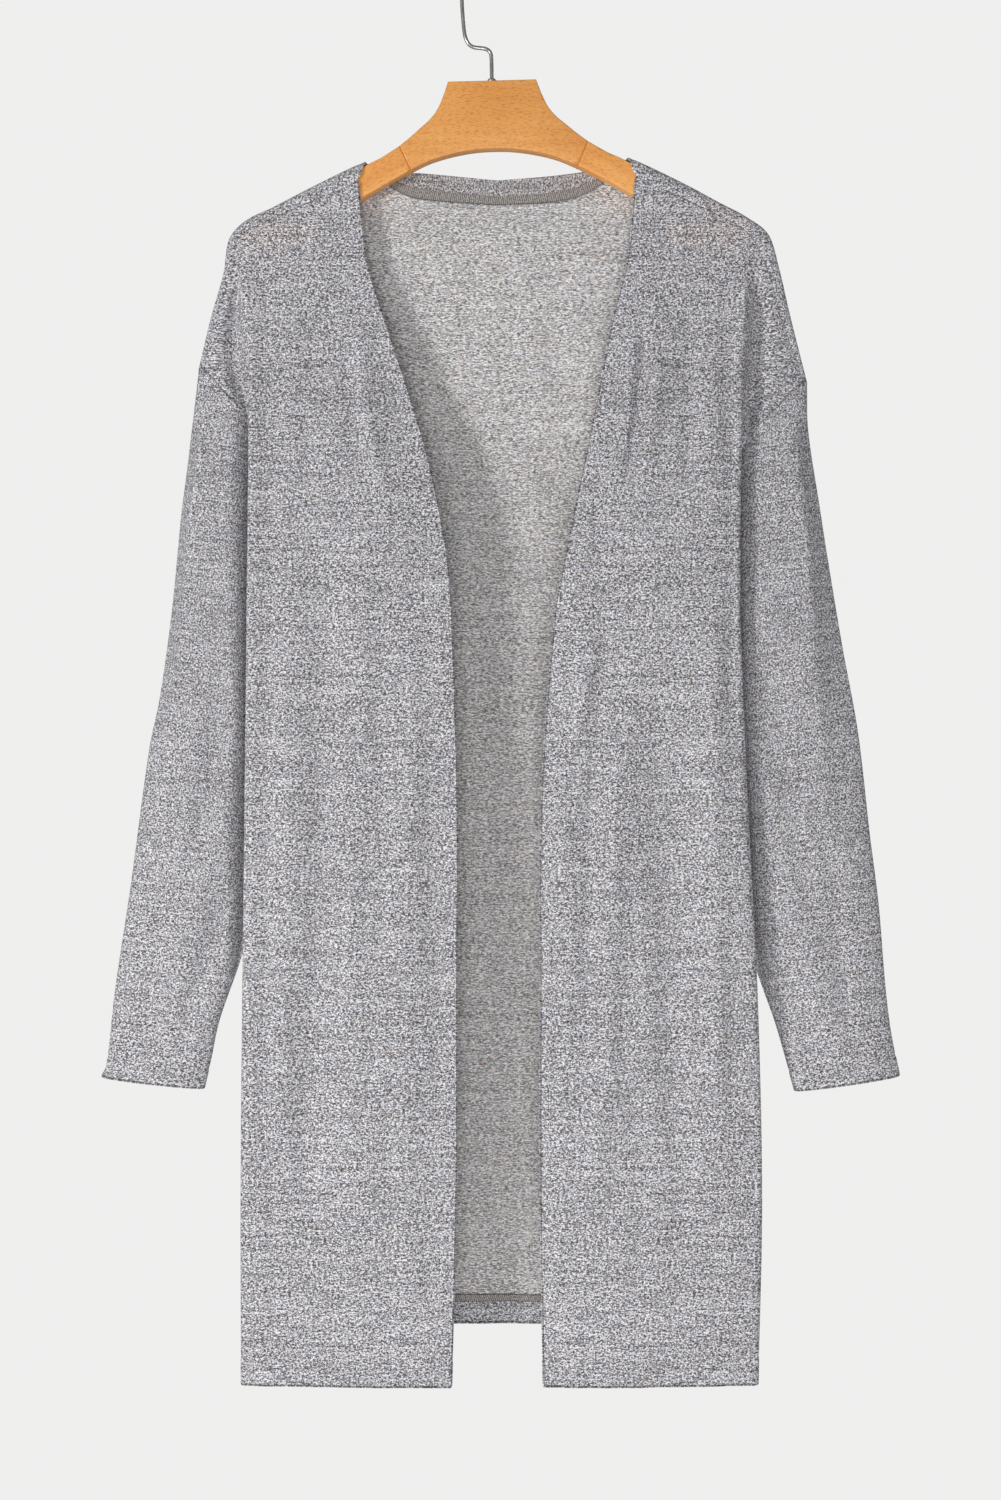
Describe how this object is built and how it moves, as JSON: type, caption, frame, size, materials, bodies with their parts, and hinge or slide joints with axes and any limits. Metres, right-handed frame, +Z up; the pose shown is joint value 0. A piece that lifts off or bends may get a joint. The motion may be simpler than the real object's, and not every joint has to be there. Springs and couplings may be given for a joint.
{
  "type": "open-front cardigan on a wooden hanger",
  "caption": "Long open-front knit cardigan with dropped shoulders and slim sleeves, hanging on a flat wooden hanger with a bent wire hook.",
  "frame": {"origin": "inside of the crown of the hanger's hook, where the rail carries it", "axes": "+Z up, +X to the wearer's left, +Y to the wearer's back, so the open front faces -Y"},
  "size_m": [0.5982, 0.0612, 1.0645],
  "materials": {
    "knit": "fine marled grey jersey knit",
    "band": "darker ribbed knit, overlocked",
    "wood": "satin varnished beech",
    "wire": "nickel plated"
  },
  "bodies": {
    "root": {"right_front": "knit", "left_front": "knit", "back": "knit", "right_sleeve": "knit", "left_sleeve": "knit", "neck_band": "band", "hanger_centre": "wood", "hanger_right_arm": "wood", "hanger_left_arm": "wood", "hook": "wire", "ferrule": "wire"}
  },
  "joints": []
}
